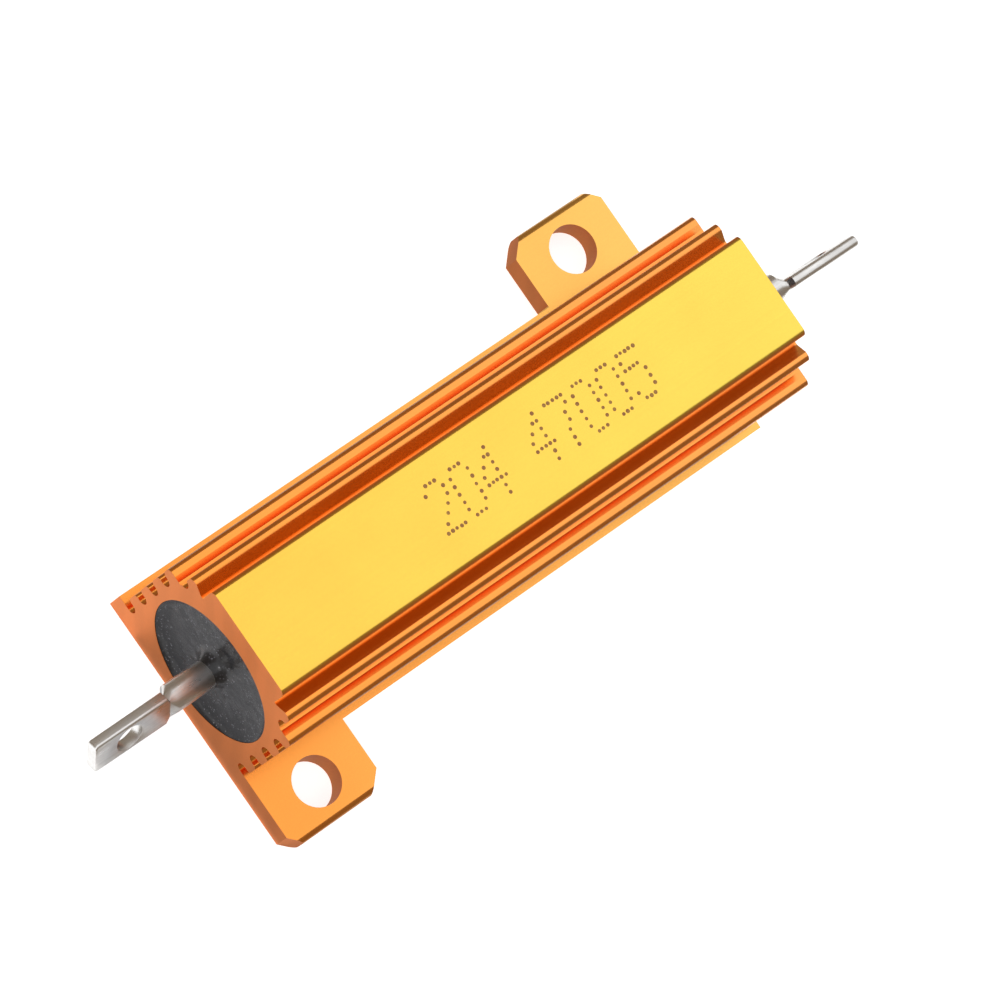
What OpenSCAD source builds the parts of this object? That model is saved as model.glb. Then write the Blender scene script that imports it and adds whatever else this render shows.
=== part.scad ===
// Chassis-mount power resistor: a wirewound element potted in a finned aluminium extrusion.
// +X runs along the extrusion, +Z up. The origin is the middle of the base face.

/* [Extrusion] */
// Length that the extrusion is sawn to
housing_l = 50; // [40:1:70]
// Diameter of the bore that holds the element
bore_d = 11.6; // [10.4:0.1:12]
// Metal between the bore and the base face
floor_wall = 1.6; // [1.2:0.1:2.4]
// Metal between the bore and the bottoms of the side grooves
side_wall = 0.6; // [0.5:0.1:1.5]
// Metal between the bore and the marking land
crown_wall = 2.3; // [2.2:0.1:3.2]
// Depth of the side grooves, which is how far the fins stand out
fin_depth = 1; // [0.7:0.1:1.6]
// Height of one side groove
groove_h = 1.05; // [0.8:0.05:1.2]
// Number of side grooves under each shoulder
groove_count = 4; // [2:1:4]
// Radius on the fin tips
fin_round = 0.3; // [0.1:0.05:0.35]
// Radius along the edges of the shoulders
shoulder_round = 0.45; // [0.1:0.05:0.55]

/* [Crown] */
// Width of the flat marking land on top
land_w = 8.6; // [7:0.2:9.2]
// Radius along the edges of the land
land_round = 0.5; // [0.1:0.05:0.6]
// Drop from the land to the crests of the two ridges beside it
crest_drop = 1.6; // [1.2:0.1:2]
// Gap from the land's side to the near edge of a crest
valley_w = 1; // [0.6:0.1:1.2]
// Depth of that gap below the crest
valley_d = 0.45; // [0.2:0.05:0.6]
// Width from the edge of a crest to the ridge's outer side
ridge_w = 0.65; // [0.55:0.05:1]
// Radius on the ridge's outer corner
ridge_round = 0.45; // [0.1:0.05:0.5]
// Drop from the crest to the middle of the notch under the ridge
notch_drop = 1.5; // [1.3:0.1:1.8]
// Depth of the notch under the ridge
notch_depth = 0.45; // [0.2:0.05:0.6]
// Drop from the notch's lower edge to the shoulder
shoulder_drop = 0.18; // [0.1:0.02:0.4]

/* [Mounting flange] */
// Thickness of the flange and its lugs
flange_t = 2.08; // [1.6:0.1:2.6]
// How far the flange stands out past the fins
flange_step = 0.6; // [0.2:0.1:1.5]
// How far a lug stands out past the flange
lug_reach = 5.6; // [5:0.1:8]
// Length of a lug along the extrusion
lug_l = 8.8; // [7.5:0.1:12]
// Radius along the top outer edge of a lug
lug_edge_round = 0.5; // [0.1:0.1:0.6]
// Cut-off at a lug's corner on the sawn end
lug_end_cut = 1; // [0.5:0.1:2]
// Cut-off at a lug's inward corner
lug_inner_cut = 1.4; // [0.5:0.1:2]
// Diameter of the mounting holes
mount_hole_d = 3.8; // [3:0.1:4.2]
// From the sawn end to a mounting hole's centre
hole_end_inset = 4.4; // [3.5:0.1:5]
// From a lug's outer edge to its mounting hole's centre
hole_edge_inset = 3.05; // [2.6:0.05:3.5]

/* [Wirewound element] */
// Diameter of the ceramic core
core_d = 7; // [5:0.1:7.6]
// How far the ceramic core's ends are inside the sawn ends
core_inset = 6; // [5.5:0.5:11]
// Chamfer on the core's ends
core_chamfer = 0.3; // [0.1:0.1:0.8]
// Thickness of the end caps' sheet
cap_t = 0.4; // [0.3:0.05:0.6]
// How far an end cap covers the core
cap_cover = 4.5; // [3:0.1:6]
// Outer corner radius of the end caps
cap_round = 0.3; // [0.1:0.05:0.35]
// Diameter of the resistance wire
wire_d = 0.5; // [0.3:0.05:0.6]
// Turns of resistance wire
turns = 20; // [8:1:22]
// How far the winding runs up onto each end cap
wire_lap = 1.6; // [0.8:0.1:2.5]
// Length over which the wire climbs onto a cap
wire_climb = 0.8; // [0.5:0.1:1.5]

/* [Leads] */
// Diameter of the lead pins
pin_d = 2.2; // [1.6:0.1:2.4]
// Width of the flattened tag
tag_w = 3; // [2.8:0.1:4]
// Thickness of the flattened tag
tag_t = 0.9; // [0.7:0.05:1.2]
// Radius along the edges of the tag
tag_round = 0.2; // [0.05:0.05:0.3]
// Length of the flattened tag
tag_l = 6.5; // [5.5:0.1:8]
// Length over which the pin is pinched into the tag
flare_l = 0.9; // [0.5:0.1:1.5]
// Corner radius at the tag's tip
tip_round = 0.3; // [0.1:0.1:0.6]
// Diameter of the eye for the wire
eye_d = 2.3; // [1.5:0.1:2.3]
// From the tag's tip to the eye's centre
eye_inset = 3.1; // [2.5:0.1:3.5]
// How far the tag is pressed off the pin's axis
tag_offset = 0.3; // [0:0.05:0.4]
// How far the near lead's tip is from the sawn end
near_reach = 11; // [9.5:0.1:14]
// How far the far lead's tip is from the sawn end
far_reach = 12; // [9.5:0.1:14]
// Turn of the near tag about the pin
near_roll = 153; // [0:1:180]
// Turn of the far tag about the pin
far_roll = 5; // [0:1:180]
// Sideways lean of the near lead
near_lean = 0; // [0:0.1:1]
// Sideways lean of the far lead
far_lean = 0.8; // [0:0.1:1]

/* [Potting] */
// Depth of the hollow that the potting sets to at its middle
dish_depth = 0.4; // [0.2:0.1:1.5]
// Radius of the fillet of potting round each lead
creep_r = 0.35; // [0.1:0.05:0.6]
// How far the potting's rim is below the sawn end
rim_drop = 0.05; // [0.02:0.01:0.3]

/* [Clearances] */
// Gap between the potting and what it surrounds
pot_gap = 0.02; // [0.01:0.01:0.05]
// Gap between the core and its end caps
cap_gap = 0.03; // [0.01:0.01:0.06]
// Gap between the wire and what it is wound on
wire_gap = 0.02; // [0.01:0.01:0.05]
// Gap between an end cap and the lead welded to it
weld_gap = 0.03; // [0.02:0.01:0.06]

/* [Hidden] */

$fn = 96;
// Overlap that makes united shapes share volume, and cuts run past the faces they open
over = 1;

// Levels of the extrusion's section, from the base up
bore_r = bore_d / 2;
bore_z = floor_wall + bore_r;
land_z = bore_z + bore_r + crown_wall;
crest_z = land_z - crest_drop;
notch_z = crest_z - notch_drop;
shoulder_z = notch_z - groove_h / 2 - shoulder_drop;
first_groove_z = flange_t + groove_h / 2;
groove_pitch = (notch_z - first_groove_z) / groove_count;
function groove_z(i) = first_groove_z + i * groove_pitch;

// Half widths of the section, from the bore out
groove_y = bore_r + side_wall;
fin_y = groove_y + fin_depth;
flange_y = fin_y + flange_step;
lug_y = flange_y + lug_reach;
crest_y = land_w / 2 + valley_w;
ridge_y = crest_y + ridge_w;
notch_y = ridge_y - notch_depth;

// Places along the extrusion
end_x = housing_l / 2;
hole_x = end_x - hole_end_inset;
hole_y = lug_y - hole_edge_inset;

// The element, from the middle out
core_r = core_d / 2;
core_end_x = end_x - core_inset;
cap_in_r = core_r + cap_gap;
cap_r = cap_in_r + cap_t;
cap_floor_x = core_end_x + cap_gap;
cap_end_x = cap_floor_x + cap_t;
cap_mouth_x = core_end_x - cap_cover;
lead_x = cap_end_x + weld_gap;

// The winding. Its path is a polygon, so its corners lie a little further out than a true helix
wire_sides = 6;
turn_steps = 16;
chord = 1 / cos(180 / turn_steps);
wire_r = wire_d / 2;
wire_half_l = cap_mouth_x + wire_lap;
climb_x = cap_mouth_x - wire_climb - wire_d;
coil_r = (core_r + wire_gap + wire_r) * chord;
lap_r = (cap_r + wire_gap + wire_r) * chord;

// The chamber that the potting leaves for the element
coil_room_r = coil_r + wire_r + pot_gap;
cap_room_r = lap_r + wire_r + pot_gap;

// The hollow is the cap of a sphere through the potting's rim
pot_r = bore_r - pot_gap;
dish_r = (pot_r ^ 2 + dish_depth ^ 2) / (2 * dish_depth);

pin_r = pin_d / 2;

// A bar of the section, centred on y = 0, with rounded corners
module section_bar(half_w, low, high, corner) {
    translate([corner - half_w, low])
        square([2 * (half_w - corner), high - low]);
    translate([-half_w, low + corner])
        square([2 * half_w, high - low - 2 * corner]);
    for (s = [-1, 1], z = [low + corner, high - corner])
        translate([s * (half_w - corner), z])
            circle(corner);
}

// The web between the side grooves, hollowed by their round bottoms
module web() {
    web_y = groove_y + groove_h / 2;
    difference() {
        translate([-web_y, flange_t - over])
            square([2 * web_y, shoulder_z - flange_t]);
        for (s = [-1, 1], i = [0 : groove_count - 1])
            translate([s * web_y, groove_z(i)])
                circle(groove_h / 2);
    }
}

// A fin above each groove, on both sides. The top one is the shoulder
module fins() {
    for (i = [0 : groove_count - 1]) {
        low = groove_z(i) + groove_h / 2;
        if (i < groove_count - 1)
            section_bar(fin_y, low, groove_z(i + 1) - groove_h / 2, fin_round);
        else
            section_bar(fin_y, low, shoulder_z, shoulder_round);
    }
}

// The round-bottomed notch under each ridge
module notch_pair() {
    for (s = [0, 1])
        mirror([s, 0])
            translate([notch_y + groove_h / 2, notch_z]) {
                circle(groove_h / 2);
                translate([0, -groove_h / 2])
                    square([fin_y, groove_h]);
            }
}

// The gap between the land and each ridge: flat beside the land, then sloping up to the crest
module valley_pair() {
    foot = valley_w / 4;
    for (s = [0, 1])
        mirror([s, 0])
            translate([land_w / 2, crest_z])
                polygon([
                    [0, over],
                    [0, -valley_d],
                    [foot, -valley_d],
                    [valley_w, 0],
                    [valley_w, over]
                ]);
}

// Everything of the section above the flange, without its bore
module crown_and_fins() {
    web();
    fins();
    difference() {
        union() {
            section_bar(ridge_y, shoulder_z - over, crest_z, ridge_round);
            section_bar(land_w / 2, crest_z - over, land_z, land_round);
        }
        notch_pair();
        valley_pair();
    }
}

// Turns a section drawn in Y and Z into a bar along X
module along_x(length) {
    rotate([90, 0, 90])
        linear_extrude(length, center = true)
            children();
}

// Outline of one lug, from above, with its two corners cut off
module lug_outline() {
    inner_x = end_x - lug_l;
    polygon([
        [inner_x, 0],
        [end_x, 0],
        [end_x, lug_y - lug_end_cut],
        [end_x - lug_end_cut, lug_y],
        [inner_x + lug_inner_cut, lug_y],
        [inner_x, lug_y - lug_inner_cut]
    ]);
}

// What is left of the wide flange once it has been cropped between the two lugs
module flange() {
    intersection() {
        along_x(housing_l)
            section_bar(lug_y, 0, flange_t, lug_edge_round);
        linear_extrude(flange_t)
            union() {
                square([housing_l, 2 * flange_y], center = true);
                for (turn = [0, 180])
                    rotate(turn)
                        lug_outline();
            }
    }
}

module housing() {
    color("goldenrod")
        difference() {
            union() {
                along_x(housing_l)
                    crown_and_fins();
                flange();
            }
            translate([0, 0, bore_z])
                rotate([0, 90, 0])
                    cylinder(h = housing_l + 2 * over, r = bore_r, center = true);
            for (turn = [0, 180])
                rotate(turn)
                    translate([hole_x, hole_y, -over])
                        cylinder(h = flange_t + 2 * over, d = mount_hole_d);
        }
}

// Revolves an outline about the bore's axis. Its x is the radius, and its y is the place along X
module about_bore() {
    translate([0, 0, bore_z])
        rotate([0, 90, 0])
            rotate_extrude()
                children();
}

// Sets what is drawn along +X from the origin at an end cap's face, end +1 far and -1 near
module at_lead(end, roll, lean) {
    translate([end * lead_x, 0, bore_z])
        rotate([0, 0, end > 0 ? -lean : 180 + lean])
            rotate([end * roll, 0, 0])
                children();
}

module potting() {
    room = cap_end_x + pot_gap;
    color("dimgray")
        difference() {
            about_bore()
                potting_outline();
            about_bore()
                polygon([
                    [0, -room],
                    [cap_room_r, -room],
                    [cap_room_r, -climb_x - wire_climb / 2],
                    [coil_room_r, -climb_x + wire_r],
                    [coil_room_r, climb_x - wire_r],
                    [cap_room_r, climb_x + wire_climb / 2],
                    [cap_room_r, room],
                    [0, room]
                ]);
            at_lead(-1, near_roll, near_lean)
                lead_hole();
            at_lead(1, far_roll, far_lean)
                lead_hole();
        }
}

// The potting sets hollow at each end, and creeps up the lead in a fillet
module potting_outline() {
    rim_x = end_x - rim_drop;
    dish_x = rim_x - dish_depth + dish_r;
    skirt_r = pin_r + creep_r;
    skirt_x = dish_x - sqrt(dish_r ^ 2 - skirt_r ^ 2);
    difference() {
        translate([0, -rim_x])
            square([pot_r, 2 * rim_x]);
        for (m = [0, 1])
            mirror([0, m]) {
                difference() {
                    translate([0, dish_x])
                        circle(dish_r);
                    square([skirt_r, skirt_x + creep_r]);
                }
                translate([skirt_r, skirt_x + creep_r])
                    circle(creep_r);
            }
    }
}

// Hole that the potting leaves for a pin
module lead_hole() {
    translate([-over, 0, 0])
        rotate([0, 90, 0])
            cylinder(h = end_x, r = pin_r + pot_gap);
}

module ceramic_core() {
    side_x = core_end_x - core_chamfer;
    color("white")
        about_bore()
            polygon([
                [0, -core_end_x],
                [core_r - core_chamfer, -core_end_x],
                [core_r, -side_x],
                [core_r, side_x],
                [core_r - core_chamfer, core_end_x],
                [0, core_end_x]
            ]);
}

// A drawn cup over the core's end
module end_cap(end) {
    color("silver")
        translate([0, 0, bore_z])
            rotate([0, end * 90, 0])
                rotate_extrude()
                    difference() {
                        translate([0, cap_mouth_x])
                            cup_outline(cap_end_x - cap_mouth_x);
                        square([cap_in_r, cap_floor_x]);
                    }
}

// Half of a cup's outside, with the corner at its closed end rounded
module cup_outline(height) {
    square([cap_r, height - cap_round]);
    square([cap_r - cap_round, height]);
    translate([cap_r - cap_round, height - cap_round])
        circle(cap_round);
}

module end_cap_near() {
    end_cap(-1);
}

module end_cap_far() {
    end_cap(1);
}

// Radius of the winding at x: on the core between the caps, and up on a cap past its mouth
function ease(t) = let (u = min(max(t, 0), 1)) u * u * (3 - 2 * u);
function winding_r(x) =
    coil_r + (lap_r - coil_r) * ease((abs(x) - climb_x) / wire_climb);

// Ring of the wire at a fraction t of the way along the winding
function wire_ring(t) =
    let (x = wire_half_l * (2 * t - 1), a = 360 * turns * t)
    [
        for (i = [0 : wire_sides - 1])
            let (
                b = 360 * i / wire_sides,
                r = winding_r(x) + wire_r * cos(b)
            )
            [x + wire_r * sin(b), r * cos(a), bore_z + r * sin(a)]
    ];

module resistance_wire() {
    steps = turns * turn_steps;
    rings = [for (k = [0 : steps]) each wire_ring(k / steps)];
    walls = [
        for (k = [0 : steps - 1], i = [0 : wire_sides - 1])
            let (j = (i + 1) % wire_sides, a = k * wire_sides, b = a + wire_sides)
            each [[a + i, a + j, b + j], [a + i, b + j, b + i]]
    ];
    start_face = [for (i = [wire_sides - 1 : -1 : 0]) i];
    end_face = [for (i = [0 : wire_sides - 1]) steps * wire_sides + i];
    color("tan")
        polyhedron(rings, concat(walls, [start_face, end_face]));
}

// Section across the tag, drawn in Y and Z: flat faces and pressed edges
module tag_section() {
    section_bar(tag_w / 2, -tag_offset - tag_t / 2, tag_t / 2 - tag_offset, tag_round);
}

// A pin flattened into a tag with an eye, drawn along +X and reach long
module lead(reach) {
    root = reach - tag_l;
    difference() {
        union() {
            rotate([0, 90, 0])
                cylinder(h = root - flare_l, r = pin_r);
            hull() {
                translate([root - flare_l, 0, 0])
                    rotate([0, 90, 0])
                        cylinder(h = pot_gap, r = pin_r, $fn = 32);
                translate([root, 0, 0])
                    tag_bar(pot_gap, $fn = 32);
            }
            intersection() {
                translate([root, 0, 0])
                    tag_bar(tag_l);
                tip_outline(reach);
            }
        }
        translate([reach - eye_inset, 0, 0])
            rotate([90, 0, 0])
                cylinder(h = pin_d + tag_t, d = eye_d, center = true);
    }
}

// A stretch of the tag's section, from x = 0
module tag_bar(length) {
    rotate([0, 90, 0])
        linear_extrude(length)
            tag_section();
}

// The tag's side view, with its tip's corners rounded
module tip_outline(reach) {
    rotate([90, 0, 0])
        linear_extrude(2 * pin_d, center = true) {
            translate([0, -tag_w / 2])
                square([reach - tip_round, tag_w]);
            translate([0, tip_round - tag_w / 2])
                square([reach, tag_w - 2 * tip_round]);
            for (s = [-1, 1])
                translate([reach - tip_round, s * (tag_w / 2 - tip_round)])
                    circle(tip_round);
        }
}

module terminal_near() {
    color("silver")
        at_lead(-1, near_roll, near_lean)
            lead(end_x + near_reach - lead_x);
}

module terminal_far() {
    color("silver")
        at_lead(1, far_roll, far_lean)
            lead(end_x + far_reach - lead_x);
}

housing();
potting();
ceramic_core();
resistance_wire();
end_cap_near();
end_cap_far();
terminal_near();
terminal_far();
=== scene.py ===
import math
import random

import bpy
from bpy.props import FloatProperty, FloatVectorProperty, IntProperty, PointerProperty, StringProperty
from mathutils import Matrix, Quaternion, Vector


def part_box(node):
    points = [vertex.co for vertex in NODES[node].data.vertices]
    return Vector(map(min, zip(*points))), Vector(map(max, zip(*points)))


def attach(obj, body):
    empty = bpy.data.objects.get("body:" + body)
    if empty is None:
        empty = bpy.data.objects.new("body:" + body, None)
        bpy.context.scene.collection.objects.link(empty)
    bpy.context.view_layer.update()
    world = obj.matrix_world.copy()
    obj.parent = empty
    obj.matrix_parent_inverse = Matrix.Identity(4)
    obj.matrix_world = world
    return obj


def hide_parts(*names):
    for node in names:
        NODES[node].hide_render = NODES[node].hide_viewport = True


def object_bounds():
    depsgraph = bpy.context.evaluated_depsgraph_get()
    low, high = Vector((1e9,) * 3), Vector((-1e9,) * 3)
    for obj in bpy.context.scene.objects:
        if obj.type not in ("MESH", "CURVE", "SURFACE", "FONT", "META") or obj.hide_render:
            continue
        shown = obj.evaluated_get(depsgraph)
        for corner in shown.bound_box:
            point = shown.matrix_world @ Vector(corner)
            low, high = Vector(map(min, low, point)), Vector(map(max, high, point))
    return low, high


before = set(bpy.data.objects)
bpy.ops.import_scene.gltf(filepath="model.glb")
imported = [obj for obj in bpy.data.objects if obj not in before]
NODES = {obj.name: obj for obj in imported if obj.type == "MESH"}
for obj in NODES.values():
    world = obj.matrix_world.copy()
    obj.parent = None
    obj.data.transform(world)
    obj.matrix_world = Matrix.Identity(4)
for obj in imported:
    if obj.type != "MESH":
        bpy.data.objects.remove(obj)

bl_info = {
    "name": "Housed power resistor",
    "version": (1, 0, 0),
    "blender": (4, 5, 0),
    "location": "3D View > Sidebar > Resistor",
    "description": "Models, finishes and lights a wirewound power resistor in a finned aluminium housing",
    "category": "Object",
}

MM = 0.001
CAD_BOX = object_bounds()
BODY = "root"

# Sizes that the construction fixes, in metres, read back from the frame
HOUSING_LOW, HOUSING_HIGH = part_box("housing")
POTTING_LOW, POTTING_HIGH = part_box("potting")
CAP_LOW, CAP_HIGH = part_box("end_cap_far")
WIRE_LOW, WIRE_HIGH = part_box("resistance_wire")
NEAR_LOW, NEAR_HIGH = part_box("terminal_near")
FAR_LOW, FAR_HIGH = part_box("terminal_far")
END_X = HOUSING_HIGH.x
LUG_Y = HOUSING_HIGH.y
LAND_Z = HOUSING_HIGH.z
FLANGE_Y = 8.0 * MM
BORE_Z = (POTTING_LOW.z + POTTING_HIGH.z) / 2
POT_R = (POTTING_HIGH.z - POTTING_LOW.z) / 2
CHAMBER_X = CAP_HIGH.x + 0.02 * MM
CHAMBER_R = WIRE_HIGH.z - BORE_Z + 0.02 * MM
LEAD_X = FAR_LOW.x

# One digit is seven rows of five places, each struck or left bare
DIGITS = {
    "0": ".###. #...# #...# #...# #...# #...# .###.",
    "1": "..#.. .##.. ..#.. ..#.. ..#.. ..#.. .###.",
    "2": ".###. #...# ....# ...#. ..#.. .#... #####",
    "3": ".###. #...# ....# ..##. ....# #...# .###.",
    "4": "...#. ..##. .#.#. #..#. ##### ...#. ...#.",
    "5": "##### #.... ####. ....# ....# #...# .###.",
    "6": ".###. #.... #.... ####. #...# #...# .###.",
    "7": "##### ....# ...#. ...#. ..#.. ..#.. ..#..",
    "8": ".###. #...# #...# .###. #...# #...# .###.",
    "9": ".###. #...# #...# .#### ....# ....# .###.",
}


# ---------------------------------------------------------------- settings


def colour_property(name, description, default):
    """An sRGB colour, written as six hex digits."""
    return StringProperty(name=name, description=description, default=default)


def length_property(name, description, default):
    """A length, whose default is given in millimetres."""
    return FloatProperty(name=name, description=description, default=default * MM, unit="LENGTH")


class HousingSettings(bpy.types.PropertyGroup):
    """The anodised extrusion."""

    # Painted light: each near colour is painted darker and each far colour paler, for the light that falls more
    # strongly on the far end
    land_near_shaded: colour_property("Land, near", "Dyed film on the land, at the near end", "#FFC953")
    land_far_lit: colour_property("Land, far", "Dyed film on the land, at the far end", "#F8D65C")
    # Painted shade: the flanks are painted a deeper orange than the land, for the shade between ridges and fins
    flank_shaded_near: colour_property("Flanks, near", "Dyed film on ridges, fins and lugs, at the near end", "#FFA048")
    flank_shaded_far: colour_property("Flanks, far", "Dyed film on ridges, fins and lugs, at the far end", "#FFA656")
    flange_far_lit: colour_property("Flange, far", "Dyed film on the flange, at the far end", "#FCC164")
    sawn: colour_property("Sawn ends", "Dyed film on the sawn, matt ends", "#E0884C")
    edge_break: length_property("Edge break", "Width of the broken edges", 0.05)
    film_roughness: FloatProperty(
        name="Film roughness", description="Roughness of the anodic film", default=0.22, min=0.05, max=1.0, subtype="FACTOR"
    )


class PottingSettings(bpy.types.PropertyGroup):
    """The cast compound that seals the bore."""

    colour: colour_property("Compound", "Filled epoxy that the bore is potted with", "#1B1A1E")
    hollow: length_property("Hollow", "How far the compound's face lies inside its rim", 0.55)
    rim_reach: length_property("Rim creep", "Width over which the compound climbs to the bore's rim", 0.5)
    pin_climb: length_property("Pin creep", "How far the compound climbs up a lead", 0.95)
    lump: length_property("Lumps", "Height of the lumps that the compound sets with", 0.3)


class LeadSettings(bpy.types.PropertyGroup):
    """The two leads, each a pin flattened into a tag with an eye."""

    tin: colour_property("Tin", "Tin plating of the leads", "#E4E3E1")
    pin_diameter: length_property("Pin diameter", "Diameter of the round pin", 2.2)
    tag_width: length_property("Tag width", "Width of the flattened tag", 3.0)
    tag_thickness: length_property("Tag thickness", "Thickness of the flattened tag", 0.9)
    near_edge: length_property("Near edge radius", "Radius along the edges of the near tag", 0.2)
    far_edge: length_property("Far edge radius", "Radius along the edges of the far tag", 0.4)
    waist: length_property("Waist", "Half height that the pin is nipped to before it widens", 0.95)
    tag_length: length_property("Tag length", "Length of the flattened tag", 6.5)
    tag_offset: length_property("Tag offset", "How far the tag is pressed off the pin's axis", 0.3)
    flare: length_property("Pinch", "Length over which the pin is pinched into the tag", 0.9)
    tip_round: length_property("Tip radius", "Corner radius at the tag's tip", 0.3)
    eye_diameter: length_property("Eye diameter", "Diameter of the eye for the wire", 2.3)
    eye_inset: length_property("Eye inset", "From the tag's tip to the eye's centre", 3.1)
    edge_break: length_property("Edge break", "Width of the broken edges", 0.06)
    near_reach: length_property("Near reach", "From the sawn end to the near lead's tip", 11)
    far_reach: length_property("Far reach", "From the sawn end to the far lead's tip", 12)
    near_roll: FloatProperty(
        name="Near roll", description="Turn of the near tag about its pin", default=math.radians(153), subtype="ANGLE"
    )
    far_roll: FloatProperty(
        name="Far roll", description="Turn of the far tag about its pin", default=math.radians(5), subtype="ANGLE"
    )
    far_lean: FloatProperty(
        name="Far lean", description="Sideways lean of the far lead", default=math.radians(0.8), subtype="ANGLE"
    )


class MarkingSettings(bpy.types.PropertyGroup):
    """The dot-matrix number on the land."""

    number: StringProperty(name="Number", description="Digits and spaces to strike", default="204 47005")
    ink: colour_property("Ink", "Ink of the struck dots", "#A86E3C")
    digit_pitch: length_property("Digit pitch", "From one digit to the next", 2.33)
    column_pitch: length_property("Column pitch", "From one column of dots to the next", 0.4)
    row_pitch: length_property("Row pitch", "From one row of dots to the next", 0.61)
    dot_diameter: length_property("Dot diameter", "Diameter of one ink dot", 0.3)
    ink_height: length_property("Ink height", "Height of a dot above the land", 0.008)
    lean: length_property("Lean", "Shift of each row against the row below it", 0.035)
    scatter: length_property("Scatter", "How far a dot may stray from its place", 0.03)
    start: FloatVectorProperty(
        name="Start",
        description="Lower left dot of the first digit, from the middle of the land",
        default=(-7.7 * MM, -1.6 * MM),
        size=2,
        unit="LENGTH",
    )


class StageSettings(bpy.types.PropertyGroup):
    """The camera, the floor and the lamps."""

    azimuth: FloatProperty(
        name="Azimuth", description="Side that the camera stands on", default=math.radians(-89.07), subtype="ANGLE"
    )
    elevation: FloatProperty(
        name="Elevation", description="Height of the camera over the floor", default=math.radians(63.0), subtype="ANGLE"
    )
    roll: FloatProperty(
        name="Roll", description="Turn of the camera about its own axis", default=math.radians(54.46), subtype="ANGLE"
    )
    distance: length_property("Distance", "From the camera to the point it aims at", 474.8)
    lens: FloatProperty(name="Lens", description="Focal length in millimetres", default=240.63, min=50, max=500)
    aim: FloatVectorProperty(
        name="Aim",
        description="Point aimed at, from the middle of the resistor",
        default=(0.43 * MM, -1.6 * MM, 0.21 * MM),
        unit="LENGTH",
    )
    key_power: FloatProperty(name="Key lamp", description="Power of the overhead lamp", default=0.1, unit="POWER")
    glint_power: FloatProperty(
        name="Glint lamp", description="Power of the small lamp before the near end", default=0.1, unit="POWER"
    )
    fill: FloatProperty(name="Fill", description="Strength of the light from all round", default=0.62, min=0, max=2)
    # Painted reflection and painted shadow: the cards and sheets with these tones are seen only in reflections; the dim
    # cards paint dark surroundings, and the grey sheets paint the floor's shadow
    card_tone: colour_property("Card tone", "Tone of the dim cards that the rounded edges mirror", "#8C7F70")
    end_shadow_tone: colour_property("End sheet tone", "Tone of the sheet that the near lead mirrors", "#C0C0C2")
    foot_shadow_tone: colour_property("Foot tone", "Tone of the sheets at the foot of the flange", "#CFCFCF")
    card_distance: length_property("Card distance", "From the resistor's middle to a dark card", 95)
    near_card: length_property("Near card", "Height of the dark card on the camera's side", 150)
    far_card: length_property("Far card", "Height of the dark card on the other side", 118)


SETTINGS = {
    "resistor_housing": HousingSettings,
    "resistor_potting": PottingSettings,
    "resistor_leads": LeadSettings,
    "resistor_marking": MarkingSettings,
    "resistor_stage": StageSettings,
}


# ---------------------------------------------------------------- modelling helpers


def clear_selection():
    """Leaves object mode as the active mode, with nothing selected."""
    if bpy.context.object and bpy.context.object.mode != "OBJECT":
        bpy.ops.object.mode_set(mode="OBJECT")
    bpy.ops.object.select_all(action="DESELECT")


def activate(piece):
    """Makes one piece the selected and active object."""
    clear_selection()
    piece.select_set(True)
    bpy.context.view_layer.objects.active = piece


def added(name):
    """Names the primitive that was just added, and brings its place into its mesh."""
    piece = bpy.context.object
    piece.name = piece.data.name = name
    bpy.ops.object.transform_apply(location=True, rotation=True, scale=True)
    return piece


def edit(piece, faces=None, verts=None):
    """Enters edit mode with just the faces, or the vertices, that pass a test."""
    activate(piece)
    mesh = piece.data
    for part in (mesh.polygons, mesh.edges, mesh.vertices):
        part.foreach_set("select", [False] * len(part))
    if faces:
        for face in mesh.polygons:
            face.select = faces(face)
    if verts:
        for vert in mesh.vertices:
            vert.select = verts(vert)
    bpy.ops.object.mode_set(mode="EDIT")
    bpy.ops.mesh.select_mode(type="FACE" if faces else "VERT")


def extrude(offset):
    """Extrudes what is selected by an offset."""
    bpy.ops.mesh.extrude_region_move(TRANSFORM_OT_translate={"value": offset})


def shift(offset):
    """Moves what is selected."""
    bpy.ops.transform.translate(value=offset)


def stretch(factors, centre):
    """Scales what is selected about a point."""
    bpy.ops.transform.resize(value=factors, center_override=centre)


def close_up(piece):
    """Merges doubles, points the faces outwards and leaves edit mode."""
    activate(piece)
    bpy.ops.object.mode_set(mode="EDIT")
    bpy.ops.mesh.select_all(action="SELECT")
    bpy.ops.mesh.remove_doubles(threshold=0.0005 * MM)
    bpy.ops.mesh.normals_make_consistent(inside=False)
    bpy.ops.object.mode_set(mode="OBJECT")


def modifier(piece, kind, **settings):
    """Adds a modifier and applies it."""
    activate(piece)
    added_modifier = piece.modifiers.new(kind.lower(), kind)
    for key, value in settings.items():
        setattr(added_modifier, key, value)
    bpy.ops.object.modifier_apply(modifier=added_modifier.name)


def smooth(piece, degrees):
    """Smooths the shading over edges flatter than an angle."""
    activate(piece)
    bpy.ops.object.shade_smooth_by_angle(angle=math.radians(degrees))


def set_on(piece, slot, *replaced):
    """Rides a finished piece on the resistor, in place of the CAD nodes that it stands for."""
    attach(piece, BODY)
    if replaced:
        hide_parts(*replaced)


# ---------------------------------------------------------------- material helpers


def linear(hex_colour):
    """Turns an sRGB hex colour into the linear colour that a socket takes."""
    channels = [int(hex_colour[i : i + 2], 16) / 255 for i in (1, 3, 5)]
    return [c / 12.92 if c <= 0.04045 else ((c + 0.055) / 1.055) ** 2.4 for c in channels] + [1.0]


def new_material(name, metallic=0.0):
    """A material with its principled shader, ready for nodes."""
    material = bpy.data.materials.new(name)
    material.use_nodes = True
    shader = material.node_tree.nodes["Principled BSDF"]
    shader.inputs["Metallic"].default_value = metallic
    return material, material.node_tree, shader


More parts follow.
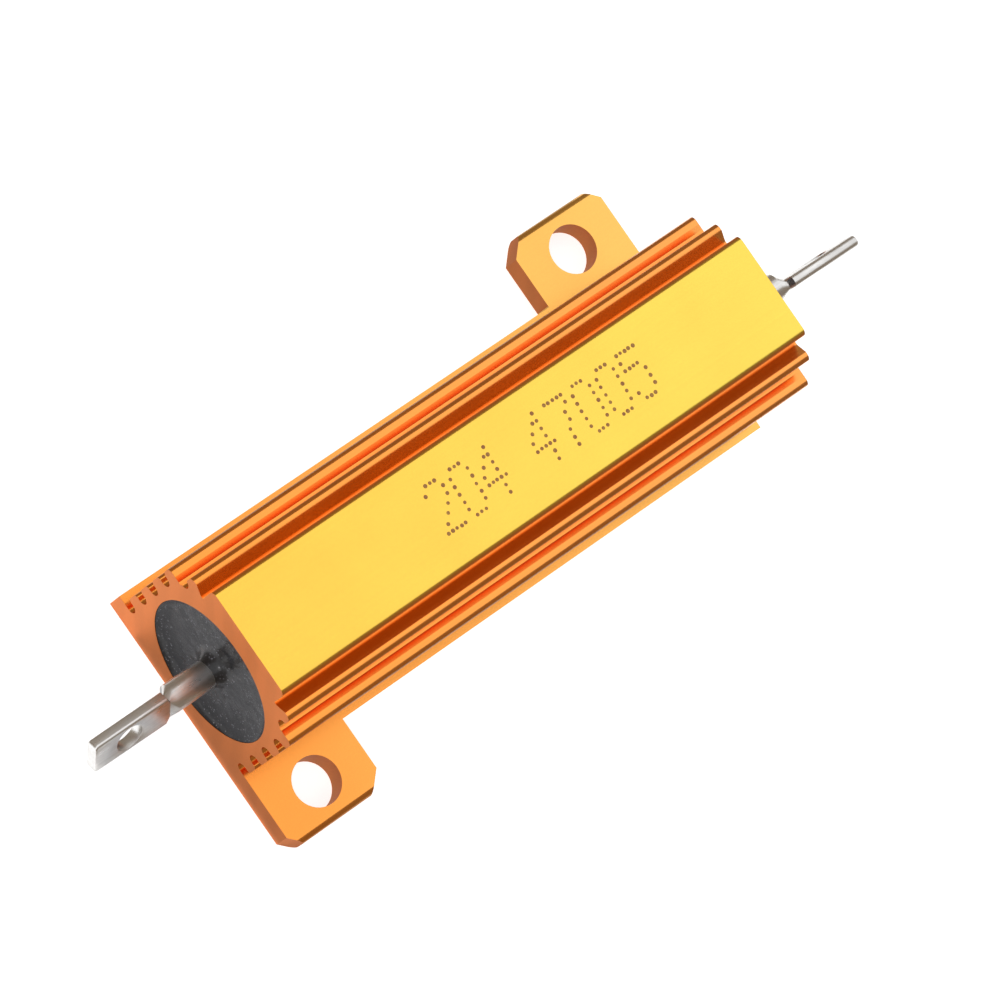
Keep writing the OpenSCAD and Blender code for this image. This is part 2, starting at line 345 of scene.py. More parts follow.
def node(tree, kind, inputs=None, **settings):
    """Adds a node and gives its main output. An input is a value, or another output to be linked to."""
    made = tree.nodes.new("ShaderNode" + kind)
    for key, value in settings.items():
        setattr(made, key, value)
    for key, value in (inputs or {}).items():
        if isinstance(value, bpy.types.NodeSocket):
            tree.links.new(value, made.inputs[key])
        else:
            made.inputs[key].default_value = value
    shown = [output for output in made.outputs if output.enabled]
    return shown[0]


def dress(piece, material):
    """Puts one material on a whole piece."""
    piece.data.materials.clear()
    piece.data.materials.append(material)


# ---------------------------------------------------------------- materials


def anodised_aluminium(finish):
    """Extruded 6063 aluminium, gold anodised: a metal seen through a dyed film."""
    material, tree, shader = new_material("anodised_aluminium", metallic=1.0)
    place = node(tree, "TexCoord")
    place = place.node.outputs["Object"]
    split = node(tree, "SeparateXYZ", {0: place}).node
    x, y, z = split.outputs
    # Painted light: the film is painted paler towards the far end, and the flange there paler still, where more light
    # falls
    far = node(tree, "MapRange", {"Value": x, "From Min": -END_X, "From Max": END_X})
    shaded_flank = node(
        tree, "Mix", {0: far, 6: linear(finish.flank_shaded_near), 7: linear(finish.flank_shaded_far)}, data_type="RGBA"
    )
    flange = node(
        tree, "Mix", {0: far, 6: linear(finish.flank_shaded_near), 7: linear(finish.flange_far_lit)}, data_type="RGBA"
    )
    over_flange = node(tree, "MapRange", {"Value": z, "From Min": 2.2 * MM, "From Max": 3.0 * MM})
    shaded_flank = node(tree, "Mix", {0: over_flange, 6: flange, 7: shaded_flank}, data_type="RGBA")
    land = node(tree, "Mix", {0: far, 6: linear(finish.land_near_shaded), 7: linear(finish.land_far_lit)}, data_type="RGBA")
    # Painted shade: the flanks are painted a deeper orange than the land, for the shade between ridges and fins. The
    # land stands above everything else, so height tells it from the flanks
    on_land = node(
        tree, "MapRange", {"Value": z, "From Min": LAND_Z - 0.14 * MM, "From Max": LAND_Z - 0.02 * MM}
    )
    drawn = node(tree, "Mix", {0: on_land, 6: shaded_flank, 7: land}, data_type="RGBA")
    # The ends are sawn, which leaves them matt and browner
    reach = node(tree, "Math", {0: x}, operation="ABSOLUTE")
    on_sawn = node(
        tree, "MapRange", {"Value": reach, "From Min": END_X - 0.02 * MM, "From Max": END_X - 0.008 * MM}
    )
    # So are the lugs' cropped sides and drilled holes: upright faces outside the flange
    across = node(tree, "Math", {0: y}, operation="ABSOLUTE")
    outside = node(tree, "Math", {0: across, 1: FLANGE_Y + 0.1 * MM}, operation="GREATER_THAN")
    facing = node(tree, "NewGeometry").node.outputs["True Normal"]
    facing = node(tree, "SeparateXYZ", {0: facing}).node.outputs
    level = node(tree, "Math", {0: facing[2]}, operation="ABSOLUTE")
    upright = node(tree, "Math", {0: level, 1: 0.3}, operation="LESS_THAN")
    endways = node(tree, "Math", {0: facing[1]}, operation="ABSOLUTE")
    endways = node(tree, "Math", {0: endways, 1: 0.99}, operation="LESS_THAN")
    cropped = node(tree, "Math", {0: outside, 1: upright}, operation="MULTIPLY")
    cropped = node(tree, "Math", {0: cropped, 1: endways}, operation="MULTIPLY")
    on_sawn = node(tree, "Math", {0: on_sawn, 1: cropped}, operation="MAXIMUM")
    colour = node(tree, "Mix", {0: on_sawn, 6: drawn, 7: linear(finish.sawn)}, data_type="RGBA")
    # Die lines run the whole length, 0.1 to 0.3 mm apart
    lines_at = node(tree, "Mapping", {"Vector": place, "Scale": (12, 4200, 4200)})
    lines = node(tree, "TexNoise", {"Vector": lines_at, "Scale": 1.0, "Detail": 4.0, "Roughness": 0.6})
    # Etching before the dye leaves a 0.15 mm grain
    grain = node(tree, "TexNoise", {"Vector": place, "Scale": 1 / (0.15 * MM), "Detail": 3.0})
    # The film's depth drifts over several millimetres
    cloud = node(tree, "TexNoise", {"Vector": place, "Scale": 1 / (7 * MM), "Detail": 2.0})
    # Saw marks cross the ends 0.35 mm apart, bowed by the blade
    saw_at = node(tree, "Mapping", {"Vector": place, "Rotation": (math.radians(24), 0, 0), "Scale": (0, 1, 1)})
    saw = node(
        tree,
        "TexWave",
        {"Vector": saw_at, "Scale": 1 / (20 * 0.35 * MM), "Distortion": 3.0, "Detail": 2.0, "Detail Scale": 1.2},
        bands_direction="Y",
    )
    worked = node(tree, "Mix", {0: on_sawn, 2: lines, 3: saw}, data_type="FLOAT")
    worked_part = node(tree, "MapRange", {"Value": worked, "From Min": 0.2, "From Max": 0.8, "To Min": 0.97, "To Max": 1.02})
    grain_part = node(tree, "MapRange", {"Value": grain, "From Min": 0.3, "From Max": 0.7, "To Min": 0.98, "To Max": 1.015})
    cloud_part = node(tree, "MapRange", {"Value": cloud, "From Min": 0.3, "From Max": 0.7, "To Min": 0.96, "To Max": 1.02})
    tone = node(tree, "Math", {0: worked_part, 1: grain_part}, operation="MULTIPLY")
    tone = node(tree, "Math", {0: tone, 1: cloud_part}, operation="MULTIPLY")
    toned = node(tree, "VectorMath", {0: colour, "Scale": tone}, operation="SCALE")
    tree.links.new(toned, shader.inputs["Base Color"])
    rough = node(
        tree,
        "MapRange",
        {"Value": lines, "To Min": finish.film_roughness - 0.05, "To Max": finish.film_roughness + 0.05},
    )
    rough = node(tree, "Mix", {0: on_sawn, 2: rough, 3: 0.58}, data_type="FLOAT")
    tree.links.new(rough, shader.inputs["Roughness"])
    line_bump = node(tree, "Bump", {"Height": worked, "Strength": 0.15, "Distance": 0.004 * MM})
    grain_bump = node(tree, "Bump", {"Height": grain, "Strength": 0.15, "Distance": 0.002 * MM, "Normal": line_bump})
    # Wear in the die leaves each shoulder a step lower beside its ridge, over a slope 0.46 mm wide
    step = node(tree, "MapRange", {"Value": across, "From Min": 6.2 * MM, "From Max": 6.66 * MM})
    on_shoulder = node(tree, "MapRange", {"Value": z, "From Min": 11.4 * MM, "From Max": 11.5 * MM})
    worn = node(tree, "Mix", {0: on_shoulder, 2: 0.0, 3: step}, data_type="FLOAT")
    worn = node(tree, "Mix", {0: on_sawn, 2: worn, 3: 0.0}, data_type="FLOAT")
    worn_bump = node(tree, "Bump", {"Height": worn, "Strength": 1.0, "Distance": 0.1 * MM, "Normal": grain_bump})
    tree.links.new(worn_bump, shader.inputs["Normal"])
    return material


def filled_epoxy(finish):
    """Casting epoxy filled with mineral powder: dark, with pale grains and a skin that shines where it climbs."""
    material, tree, shader = new_material("filled_epoxy")
    place = node(tree, "TexCoord").node.outputs["Object"]
    # Filler grains 0.12 mm across, drawn this coarse so that they show
    grains = node(tree, "TexVoronoi", {"Vector": place, "Scale": 1 / (0.17 * MM)})
    grain_colour = grains.node.outputs["Color"]
    pick = node(tree, "SeparateColor", {0: grain_colour})
    pale = node(tree, "MapRange", {"Value": pick, "From Min": 0.6, "From Max": 0.95})
    near_grain = node(tree, "MapRange", {"Value": grains, "From Min": 0.45, "From Max": 0.15})
    speck = node(tree, "Math", {0: pale, 1: near_grain}, operation="MULTIPLY")
    cloud = node(tree, "TexNoise", {"Vector": place, "Scale": 1 / (1.6 * MM), "Detail": 5.0, "Roughness": 0.65})
    body = node(
        tree,
        "MapRange",
        {"Value": cloud, "From Min": 0.32, "From Max": 0.68, "To Min": 0.72, "To Max": 1.4},
    )
    base = node(tree, "VectorMath", {0: linear(finish.colour)[:3], "Scale": body}, operation="SCALE")
    colour = node(tree, "Mix", {0: speck, 6: base, 7: linear("#85848C")}, data_type="RGBA")
    tree.links.new(colour, shader.inputs["Base Color"])
    fine = node(tree, "TexNoise", {"Vector": place, "Scale": 1 / (0.11 * MM), "Detail": 3.0, "Roughness": 0.7})
    rough = node(tree, "MapRange", {"Value": fine, "From Min": 0.3, "From Max": 0.7, "To Min": 0.3, "To Max": 0.55})
    tree.links.new(rough, shader.inputs["Roughness"])
    bump = node(tree, "Bump", {"Height": fine, "Strength": 0.8, "Distance": 0.03 * MM})
    grain_bump = node(tree, "Bump", {"Height": speck, "Strength": 0.4, "Distance": 0.01 * MM, "Normal": bump})
    tree.links.new(grain_bump, shader.inputs["Normal"])
    shader.inputs["Specular IOR Level"].default_value = 0.35
    shader.inputs["Coat Weight"].default_value = 0.5
    shader.inputs["Coat Roughness"].default_value = 0.16
    return material


def drawn_metal(name, colour, roughness, streak_mm, depth_mm):
    """A bright metal with draw lines along the part: streaks in its tone, its polish and its surface."""
    material, tree, shader = new_material(name, metallic=1.0)
    place = node(tree, "TexCoord").node.outputs["Object"]
    fine = 1 / (streak_mm * MM)
    streaks_at = node(tree, "Mapping", {"Vector": place, "Scale": (fine / 18, fine, fine)})
    streaks = node(tree, "TexNoise", {"Vector": streaks_at, "Scale": 1.0, "Detail": 4.0, "Roughness": 0.6})
    cloud = node(tree, "TexNoise", {"Vector": place, "Scale": 1 / (1.1 * MM), "Detail": 3.0})
    both = node(tree, "Math", {0: streaks, 1: cloud}, operation="ADD")
    tone = node(tree, "MapRange", {"Value": both, "From Min": 0.7, "From Max": 1.3, "To Min": 0.86, "To Max": 1.1})
    toned = node(tree, "VectorMath", {0: linear(colour)[:3], "Scale": tone}, operation="SCALE")
    tree.links.new(toned, shader.inputs["Base Color"])
    rough = node(
        tree,
        "MapRange",
        {"Value": both, "From Min": 0.7, "From Max": 1.3, "To Min": roughness + 0.08, "To Max": roughness - 0.06},
    )
    tree.links.new(rough, shader.inputs["Roughness"])
    bump = node(tree, "Bump", {"Height": streaks, "Strength": 0.3, "Distance": depth_mm * MM})
    tree.links.new(bump, shader.inputs["Normal"])
    return material


def tinned_copper(finish):
    """Tin dipped copper: a soft grey metal with shallow streaks along the lead."""
    return drawn_metal("tinned_copper", finish.tin, 0.32, streak_mm=0.16, depth_mm=0.005)


def nickel_plated_steel():
    """Deep drawn steel with a nickel plate: brighter and a little warm."""
    return drawn_metal("nickel_plated_steel", "#C3BEB4", 0.24, streak_mm=0.12, depth_mm=0.006)


def copper_nickel_wire():
    """Copper-nickel resistance wire with the brown bloom that its winding bake leaves."""
    return drawn_metal("copper_nickel_wire", "#96897A", 0.34, streak_mm=0.08, depth_mm=0.004)


def fired_steatite():
    """Unglazed steatite: a dense cream ceramic with fine pores and grey flecks."""
    material, tree, shader = new_material("fired_steatite")
    place = node(tree, "TexCoord").node.outputs["Object"]
    cloud = node(tree, "TexNoise", {"Vector": place, "Scale": 1 / (2.5 * MM), "Detail": 4.0})
    colour = node(tree, "Mix", {0: cloud, 6: linear("#E6DFCE"), 7: linear("#D8CFBB")}, data_type="RGBA")
    flecks = node(tree, "TexVoronoi", {"Vector": place, "Scale": 1 / (0.5 * MM)})
    fleck = node(tree, "MapRange", {"Value": flecks, "From Min": 0.12, "From Max": 0.05})
    flecked = node(tree, "Mix", {0: fleck, 6: colour, 7: linear("#9A948A")}, data_type="RGBA")
    tree.links.new(flecked, shader.inputs["Base Color"])
    pores = node(tree, "TexNoise", {"Vector": place, "Scale": 1 / (0.12 * MM), "Detail": 3.0})
    rough = node(tree, "MapRange", {"Value": pores, "To Min": 0.48, "To Max": 0.7})
    tree.links.new(rough, shader.inputs["Roughness"])
    bump = node(tree, "Bump", {"Height": pores, "Strength": 0.3, "Distance": 0.01 * MM})
    tree.links.new(bump, shader.inputs["Normal"])
    return material


def marking_ink(finish):
    """Stamping ink on the film: brown, thin at each dot's edge, and a little mottled."""
    material, tree, shader = new_material("marking_ink")
    place = node(tree, "TexCoord").node.outputs["Object"]
    cover = node(tree, "TexNoise", {"Vector": place, "Scale": 1 / (0.25 * MM), "Detail": 3.0})
    thin = node(tree, "MapRange", {"Value": cover, "From Min": 0.4, "From Max": 0.72})
    colour = node(tree, "Mix", {0: thin, 6: linear(finish.ink), 7: linear("#C99A4A")}, data_type="RGBA")
    tree.links.new(colour, shader.inputs["Base Color"])
    rough = node(tree, "MapRange", {"Value": cover, "To Min": 0.4, "To Max": 0.65})
    tree.links.new(rough, shader.inputs["Roughness"])
    return material


# ---------------------------------------------------------------- operators


class RESISTOR_OT_housing(bpy.types.Operator):
    """Deburr and finish the extruded housing"""

    bl_idname = "resistor.housing"
    bl_label = "Housing"

    def execute(self, context):
        finish = context.scene.resistor_housing
        clear_selection()
        bpy.ops.mesh.primitive_cube_add(size=MM)
        housing = added("housing_deburred")
        housing.data = NODES["housing"].data.copy()
        housing.data.name = "housing_deburred"
        activate(housing)
        bpy.ops.mesh.customdata_custom_splitnormals_clear()
        bpy.ops.object.mode_set(mode="EDIT")
        bpy.ops.mesh.select_all(action="SELECT")
        bpy.ops.mesh.remove_doubles(threshold=0.001 * MM)
        bpy.ops.mesh.dissolve_limited(angle_limit=math.radians(0.5))
        bpy.ops.object.mode_set(mode="OBJECT")
        modifier(
            housing,
            "BEVEL",
            width=finish.edge_break,
            segments=2,
            limit_method="ANGLE",
            angle_limit=math.radians(48),
            use_clamp_overlap=True,
        )
        smooth(housing, 30)
        modifier(housing, "WEIGHTED_NORMAL", weight=100, keep_sharp=True)
        dress(housing, anodised_aluminium(finish))
        set_on(housing, "anodised_aluminium", "housing")
        return {"FINISHED"}


class RESISTOR_OT_potting(bpy.types.Operator):
    """Cast the compound that seals both ends of the bore"""

    bl_idname = "resistor.potting"
    bl_label = "Potting"

    sides = 128

    def execute(self, context):
        finish = context.scene.resistor_potting
        leads = context.scene.resistor_leads
        clear_selection()
        bpy.ops.mesh.primitive_cylinder_add(
            vertices=self.sides,
            radius=POT_R,
            depth=2 * POTTING_HIGH.x,
            location=(0, 0, BORE_Z),
            rotation=(0, math.radians(90), 0),
        )
        potting = added("potting_cast")
        for end in (-1, 1):
            lean = leads.far_lean if end > 0 else 0.0
            self.cast_end(potting, finish, end, leads.pin_diameter / 2, lean)
        self.join_chamber(potting)
        self.roughen(potting, finish, leads.pin_diameter / 2)
        smooth(potting, 60)
        dress(potting, filled_epoxy(finish))
        set_on(potting, "potting_compound", "potting")
        return {"FINISHED"}

    def depth(self, finish, radius, pin_r):
        """How far the set surface lies inside the rim, at a distance from the axis."""
        climb = math.exp(-(POT_R - radius) / finish.rim_reach)
        creep = math.exp(-(radius - pin_r) / (0.38 * MM))
        return finish.hollow * (1 - climb) - finish.pin_climb * creep

    def cast_end(self, potting, finish, end, pin_r, lean):
        """Sinks one end into its hollow, ring by ring, then opens the hole for the lead."""
        edit(potting, faces=lambda face: face.center.x * end > POTTING_HIGH.x - 0.01 * MM)
        hole_r = pin_r - 0.02 * MM
        aside = -math.tan(lean) * (POTTING_HIGH.x - LEAD_X)
        steps = [0.04, 0.1, 0.18, 0.3, 0.45, 0.7, 1.0, 1.4, 1.8, 2.2, 2.6, 3.0, 3.4, 3.7, 4.0, 4.2, 4.36, 4.5, 4.6]
        radii = [POT_R - step * MM for step in steps if POT_R - step * MM > hole_r] + [hole_r]
        last_r, last_depth, last_aside = POT_R, 0.0, 0.0
        for radius in radii:
            sunk = self.depth(finish, radius, pin_r)
            off = aside * (POT_R - radius) / (POT_R - hole_r)
            bpy.ops.mesh.inset(thickness=last_r - radius)
            shift((-end * (sunk - last_depth), off - last_aside, 0))
            last_r, last_depth, last_aside = radius, sunk, off
        extrude((-end * (POTTING_HIGH.x - last_depth - CHAMBER_X), -aside, 0))
        extrude((0, 0, 0))
        grow = CHAMBER_R / hole_r
        stretch((1, grow, grow), (end * CHAMBER_X, 0, BORE_Z))
        bpy.ops.mesh.delete(type="FACE")
        bpy.ops.object.mode_set(mode="OBJECT")

    def join_chamber(self, potting):
        """Joins the two ends of the chamber round the wound core."""
        edit(potting, verts=lambda v: abs(abs(v.co.x) - CHAMBER_X) < 1e-6 and self.off_axis(v) > 0.9 * CHAMBER_R)
        bpy.ops.mesh.bridge_edge_loops()
        bpy.ops.object.mode_set(mode="OBJECT")
        close_up(potting)

    def off_axis(self, vert):
        return math.hypot(vert.co.y, vert.co.z - BORE_Z)

    def roughen(self, potting, finish, pin_r):
        """Lumps and pits in the set surface, which fade out at the rim and at the pin."""
        edit(
            potting,
            faces=lambda face: abs(face.center.x) > POTTING_HIGH.x - 1.2 * MM
            and abs(face.normal.x) > 0.2
            and math.hypot(face.center.y, face.center.z - BORE_Z) < POT_R - 0.03 * MM,
        )
        bpy.ops.mesh.subdivide(number_cuts=1)
        bpy.ops.object.mode_set(mode="OBJECT")
        inside = potting.vertex_groups.new(name="set_surface")
        for vert in potting.data.vertices:
            if vert.select:
                radius = self.off_axis(vert)
                fade = min((POT_R - radius) / (0.9 * MM), (radius - pin_r) / (1.2 * MM))
                inside.add([vert.index], max(0.0, min(1.0, fade)), "REPLACE")
        lumps = bpy.data.textures.new("compound_lumps", "CLOUDS")
        lumps.noise_scale = 1.3 * MM
        lumps.noise_depth = 3
        modifier(
            potting,
            "DISPLACE",
            texture=lumps,
            texture_coords="LOCAL",
            strength=finish.lump,
            mid_level=0.62,
            vertex_group="set_surface",
        )
        potting.vertex_groups.clear()


class RESISTOR_OT_element(bpy.types.Operator):
    """Finish the ceramic core, the winding and the end caps"""

    bl_idname = "resistor.element"
    bl_label = "Element"

    def execute(self, context):
        dress(NODES["ceramic_core"], fired_steatite())
        dress(NODES["resistance_wire"], copper_nickel_wire())
        nickel = nickel_plated_steel()
        for name in ("end_cap_near", "end_cap_far"):
            dress(NODES[name], nickel)
        return {"FINISHED"}


class RESISTOR_OT_leads(bpy.types.Operator):
    """Press and tin the two leads"""

    bl_idname = "resistor.leads"
    bl_label = "Leads"

    sides = 48

    def execute(self, context):
        leads = context.scene.resistor_leads
        tin = tinned_copper(leads)
        near_turn = Matrix.Rotation(math.pi, 4, "Z") @ Matrix.Rotation(-leads.near_roll, 4, "X")
        far_turn = Matrix.Rotation(-leads.far_lean, 4, "Z") @ Matrix.Rotation(leads.far_roll, 4, "X")
        for name, end, reach, edge, turn in (
            ("terminal_near", -1, leads.near_reach, leads.near_edge, near_turn),
            ("terminal_far", 1, leads.far_reach, leads.far_edge, far_turn),
        ):
            piece = self.lead(leads, name + "_pressed", END_X + reach - LEAD_X, edge)
            piece.matrix_world = Matrix.Translation((end * LEAD_X, 0, BORE_Z)) @ turn
            activate(piece)
            bpy.ops.object.transform_apply(location=True, rotation=True, scale=True)
            dress(piece, tin)
            set_on(piece, "tinned_lead", name)
        return {"FINISHED"}

    def lead(self, leads, name, reach, edge):
        """A pin flattened into a tag, along +X from the origin."""
        root = reach - leads.tag_length
        pin_l = root - leads.flare
        clear_selection()
        bpy.ops.mesh.primitive_cylinder_add(
            vertices=self.sides,
            radius=leads.pin_diameter / 2,
            depth=pin_l,
            location=(pin_l / 2, 0, 0),
            rotation=(0, math.radians(90), 0),
        )
        bpy.context.object.rotation_euler.rotate_axis("Z", math.pi / self.sides)
        piece = added(name)
        waist_x = root - 0.3 * leads.flare
        self.pinch(piece, leads, leads.pin_diameter / 2, pin_l, waist_x, leads.waist, edge)
        self.pinch(piece, leads, edge, waist_x, root, leads.tag_width / 2, edge)
        edit(piece, verts=lambda v: v.co.x > waist_x - 1e-7)
        shift((0, -leads.tag_offset, 0))
        bpy.ops.object.mode_set(mode="OBJECT")
        self.draw_tag(piece, leads, reach, edge)
        close_up(piece)
        self.pierce(piece, leads, reach)
        modifier(
            piece,
            "BEVEL",
            width=leads.edge_break,
            segments=2,
            limit_method="ANGLE",
            angle_limit=math.radians(55),
            use_clamp_overlap=True,
        )
        smooth(piece, 24)
        return piece

    def pinch(self, piece, leads, radius, start_x, end_x, half_width, edge):
        """Extrudes the end face, and presses it flat with a radius along each edge."""
        edit(piece, faces=lambda face: face.normal.x > 0.9)
        extrude((end_x - start_x, 0, 0))
        bpy.ops.object.mode_set(mode="OBJECT")
        here = [v.co for v in piece.data.vertices if v.co.x > end_x - 1e-7]
        wide, thick = (max(abs(co[axis]) for co in here) for axis in (2, 1))
        edit(piece, verts=lambda v: v.co.x > end_x - 1e-7)
        if radius > edge:
            stretch((1, edge / thick, edge / wide), (end_x, 0, 0))
            wide, thick = edge, edge
        bpy.ops.object.mode_set(mode="OBJECT")
        moves = (((0, 0, 1), half_width - wide), ((0, 1, 0), leads.tag_thickness / 2 - thick))
        for direction, distance in moves:
            for side in (-1, 1):
                toward = side * Vector(direction)
                edit(piece, verts=lambda v: v.co.x > end_x - 1e-7 and v.co.dot(toward) > 0)
                shift(toward * distance)
                bpy.ops.object.mode_set(mode="OBJECT")

    def draw_tag(self, piece, leads, reach, edge):
        """Extrudes the tag, and draws in its tip: a full round edge goes round the tip as well."""
        edit(piece, faces=lambda face: face.normal.x > 0.9)
        extrude((leads.tag_length - leads.tip_round, 0, 0))
        centre = (reach, -leads.tag_offset, 0)
        wide = width = leads.tag_width / 2
        thick = depth = leads.tag_thickness / 2
        drawn = leads.tip_round if edge > leads.tip_round else 0.0
        done = 0.0
        for turn in (22.5, 45, 67.5, 82):
            bend = 1 - math.cos(math.radians(turn))
            along = leads.tip_round * math.sin(math.radians(turn))
            narrow, thin = wide - leads.tip_round * bend, thick - drawn * bend
            extrude((along - done, 0, 0))
            stretch((1, thin / depth, narrow / width), centre)
            width, depth, done = narrow, thin, along
        bpy.ops.object.mode_set(mode="OBJECT")

    def pierce(self, piece, leads, reach):
        """Punches the eye through the tag."""
        clear_selection()
        bpy.ops.mesh.primitive_cylinder_add(
            vertices=72,
            radius=leads.eye_diameter / 2,
            depth=4 * leads.tag_thickness,
            location=(reach - leads.eye_inset, 0, 0),
            rotation=(math.radians(90), 0, 0),
        )
        punch = added("eye_punch")
        modifier(piece, "BOOLEAN", operation="DIFFERENCE", solver="EXACT", object=punch)
        bpy.data.objects.remove(punch)


class RESISTOR_OT_marking(bpy.types.Operator):
    """Strike the number on the land in dots of ink"""

    bl_idname = "resistor.marking"
    bl_label = "Marking"

    def execute(self, context):
        marking = context.scene.resistor_marking
        stray = random.Random(5)
        first = self.dot(marking)
        dots = [first]
        for x, y in self.places(marking):
            dot = first.copy()
            dot.data = first.data.copy()
            context.collection.objects.link(dot)
            size = stray.uniform(0.88, 1.1)
            dot.location = (
                x + stray.uniform(-1, 1) * marking.scatter,
                y + stray.uniform(-1, 1) * marking.scatter,
                LAND_Z,
            )
            dot.scale = (size, size, 1)
            dots.append(dot)
        bpy.data.objects.remove(dots.pop(0))
        clear_selection()
        for dot in dots:
            dot.select_set(True)
        context.view_layer.objects.active = dots[0]
        bpy.ops.object.join()
        bpy.ops.object.transform_apply(location=True, rotation=True, scale=True)
        number = context.object
        number.name = number.data.name = "struck_number"
        smooth(number, 40)
        dress(number, marking_ink(marking))
        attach(number, BODY)
        return {"FINISHED"}

    def dot(self, marking):
        """One drop of ink: a low disc with a rounded rim, let into the land."""
        clear_selection()
        rise = marking.ink_height
        radius = marking.dot_diameter / 2
        bpy.ops.mesh.primitive_cylinder_add(vertices=16, radius=radius, depth=rise)
        dot = added("ink_dot")
        edit(dot, faces=lambda face: face.normal.z > 0.9)
        bpy.ops.mesh.inset(thickness=radius * 0.3)
        shift((0, 0, rise * 0.5))
        bpy.ops.object.mode_set(mode="OBJECT")
        return dot

    def places(self, marking):
        """Where the dots of the number fall."""
        for index, digit in enumerate(marking.number):
            for row, places in enumerate(reversed(DIGITS.get(digit, "").split())):
                for column, place in enumerate(places):
                    if place == "#":
                        yield (
                            marking.start[0]
                            + index * marking.digit_pitch
                            + column * marking.column_pitch
                            + row * marking.lean,
                            marking.start[1] + row * marking.row_pitch,
                        )


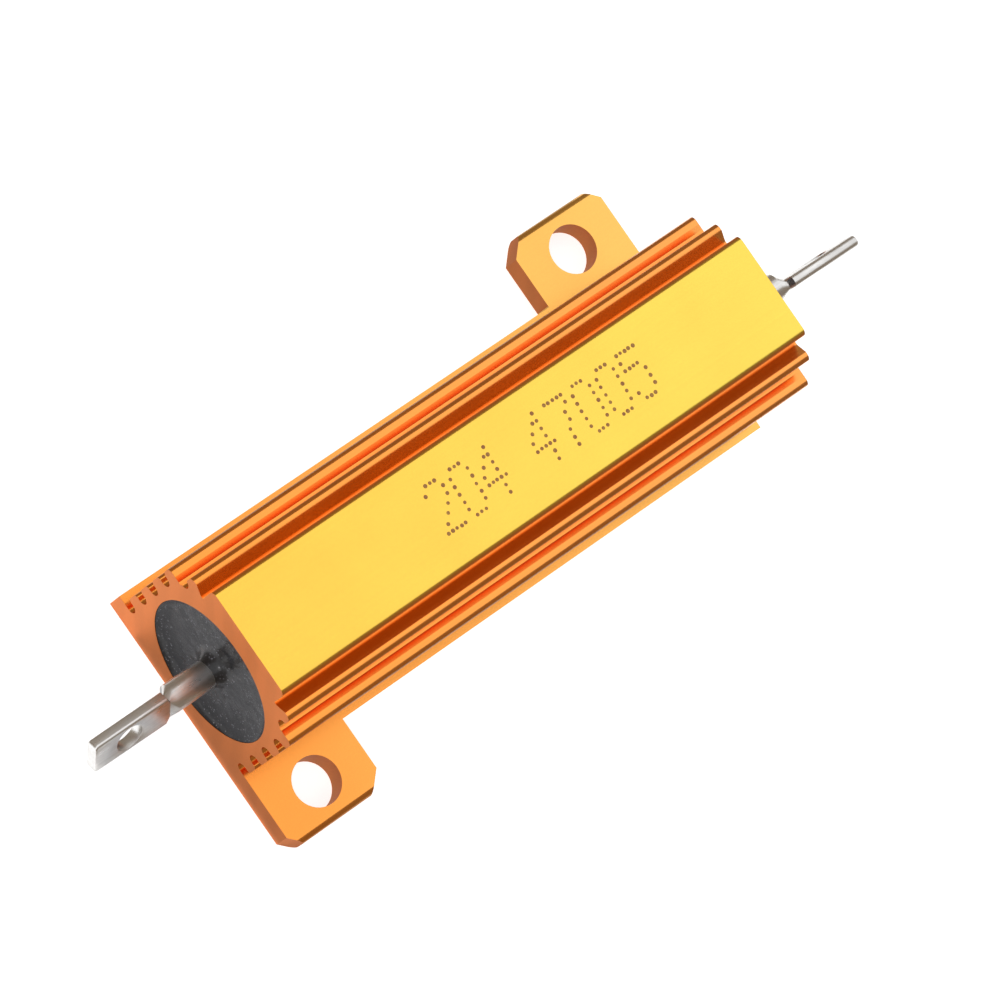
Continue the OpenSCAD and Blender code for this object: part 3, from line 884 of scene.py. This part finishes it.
class RESISTOR_OT_stage(bpy.types.Operator):
    """Set the floor, the cards, the lamps and the camera"""

    bl_idname = "resistor.stage"
    bl_label = "Stage"

    def execute(self, context):
        stage = context.scene.resistor_stage
        low, high = CAD_BOX
        centre = (low + high) / 2
        self.floor(low.z)
        self.cards(stage, low.z)
        self.sky(context, stage)
        self.lamp(context, "soft_box", stage.key_power, (0.5, 0.35), centre, (0.24, 0.12, 0.42))
        self.lamp(context, "glint_box", stage.glint_power, (0.09, 0.09), centre, (-0.35, -0.06, 0.23))
        self.camera(context, stage, centre)
        context.scene.view_settings.view_transform = "Standard"
        return {"FINISHED"}

    def seen(self, tree):
        """1 for what the camera, a reflection or a look through glass meets, otherwise 0."""
        rays = node(tree, "LightPath").node.outputs
        shown = node(tree, "Math", {0: rays["Is Camera Ray"], 1: rays["Is Glossy Ray"]}, operation="MAXIMUM")
        return node(tree, "Math", {0: shown, 1: rays["Is Transmission Ray"]}, operation="MAXIMUM")

    def floor(self, level):
        """A wide sheet of white paper."""
        clear_selection()
        bpy.ops.mesh.primitive_plane_add(size=4.0, location=(0, 0, level))
        floor = added("floor")
        material, tree, shader = new_material("white_paper")
        shader.inputs["Base Color"].default_value = linear("#E8E8E8")
        shader.inputs["Roughness"].default_value = 0.9
        shader.inputs["Specular IOR Level"].default_value = 0.0
        shader.inputs["Emission Color"].default_value = (1, 1, 1, 1)
        glow = node(tree, "Math", {0: self.seen(tree), 1: 0.8}, operation="MULTIPLY")
        tree.links.new(glow, shader.inputs["Emission Strength"])
        dress(floor, material)

    def card(self, name, tone, size, location, turn):
        """A card that only reflections meet. It draws the dark lines in the rounded edges."""
        clear_selection()
        bpy.ops.mesh.primitive_plane_add(size=1.0, location=location, rotation=(turn, 0, 0))
        bpy.context.object.scale = (size[0], size[1], 1)
        card = added(name)
        material, _, shader = new_material(name)
        shader.inputs["Base Color"].default_value = (0, 0, 0, 1)
        shader.inputs["Specular IOR Level"].default_value = 0.0
        shader.inputs["Emission Color"].default_value = linear(tone)
        shader.inputs["Emission Strength"].default_value = 1.0
        dress(card, material)
        card.visible_camera = False
        card.visible_diffuse = False
        card.visible_shadow = False

    def cards(self, stage, level):
        """Dim cards along both sides, standing and lying, and grey sheets where the floor is in shadow, all seen only
        in reflections: painted dark reflections and painted shadow.
        """
        lying = level + 0.05 * MM
        away, start = stage.card_distance, LUG_Y + 3 * MM
        for name, side, height in (("near", -1, stage.near_card), ("far", 1, stage.far_card)):
            # Painted reflection: dim standing cards, for dark surroundings that the rounded edges mirror. Painted
            # shadow: dim lying sheets, which darken the floor that the metal mirrors
            self.card(name + "_card", stage.card_tone, (0.6, height), (0, side * away, level + height / 2), math.pi / 2)
            self.card(name + "_sheet", stage.card_tone, (0.6, away - start), (0, side * (away + start) / 2, lying), 0)
            # Painted shadow: grey sheets at the flange's foot, for the floor's shadow close beside the resistor
            foot = start - 8 * MM
            self.card(name + "_foot", stage.foot_shadow_tone, (2 * END_X, foot), (0, side * (start - foot / 2), lying), 0)
        # Painted shadow: a grey sheet before the near end, for the floor's shadow that the sawn end and the near lead
        # mirror
        length, width = 6 * MM, LUG_Y + 5 * MM
        self.card("end_shadow_sheet", stage.end_shadow_tone, (length, width), (-END_X - 0.2 * MM - length / 2, 5 * MM - width / 2, lying), 0)

    def sky(self, context, stage):
        """A white light tent. Surfaces are lit at the fill strength, and mirror it at full white."""
        sky = bpy.data.worlds.new("light_tent")
        context.scene.world = sky
        sky.use_nodes = True
        tree = sky.node_tree
        strength = node(tree, "MapRange", {"Value": self.seen(tree), "To Min": stage.fill, "To Max": 1.0})
        tree.links.new(strength, tree.nodes["Background"].inputs["Strength"])
        tree.nodes["Background"].inputs["Color"].default_value = (1, 1, 1, 1)

    def lamp(self, context, name, power, size, centre, offset):
        """A soft box that points at the resistor."""
        lamp = bpy.data.lights.new(name, "AREA")
        lamp.shape = "RECTANGLE"
        lamp.size, lamp.size_y = size
        lamp.energy = power
        place = bpy.data.objects.new(name, lamp)
        context.scene.collection.objects.link(place)
        place.location = centre + Vector(offset)
        place.rotation_mode = "QUATERNION"
        place.rotation_quaternion = (centre - place.location).to_track_quat("-Z", "Y")

    def camera(self, context, stage, centre):
        lens = bpy.data.cameras.new("camera")
        lens.lens = stage.lens
        lens.sensor_width = 36
        lens.clip_start = 0.01
        lens.clip_end = 10
        camera = bpy.data.objects.new("camera", lens)
        context.scene.collection.objects.link(camera)
        back = Vector((
            math.sin(stage.azimuth) * math.cos(stage.elevation),
            -math.cos(stage.azimuth) * math.cos(stage.elevation),
            math.sin(stage.elevation),
        ))
        camera.location = centre + Vector(stage.aim) + back * stage.distance
        camera.rotation_mode = "QUATERNION"
        camera.rotation_quaternion = (-back).to_track_quat("-Z", "Y") @ Quaternion((0, 0, 1), stage.roll)
        context.scene.camera = camera


class RESISTOR_PT_panel(bpy.types.Panel):
    """Buttons for the resistor's pieces"""

    bl_idname = "RESISTOR_PT_panel"
    bl_label = "Housed power resistor"
    bl_space_type = "VIEW_3D"
    bl_region_type = "UI"
    bl_category = "Resistor"

    def draw(self, context):
        for maker in MAKERS:
            self.layout.operator(maker.bl_idname)


MAKERS = [
    RESISTOR_OT_housing,
    RESISTOR_OT_potting,
    RESISTOR_OT_element,
    RESISTOR_OT_leads,
    RESISTOR_OT_marking,
    RESISTOR_OT_stage,
]


def register():
    for made in [*SETTINGS.values(), *MAKERS, RESISTOR_PT_panel]:
        bpy.utils.register_class(made)
    for name, group in SETTINGS.items():
        setattr(bpy.types.Scene, name, PointerProperty(type=group))


def unregister():
    for name in SETTINGS:
        delattr(bpy.types.Scene, name)
    for made in reversed([*SETTINGS.values(), *MAKERS, RESISTOR_PT_panel]):
        bpy.utils.unregister_class(made)


def main():
    register()
    for maker in MAKERS:
        family, action = maker.bl_idname.split(".")
        getattr(getattr(bpy.ops, family), action)()


if __name__ == "__main__":
    main()
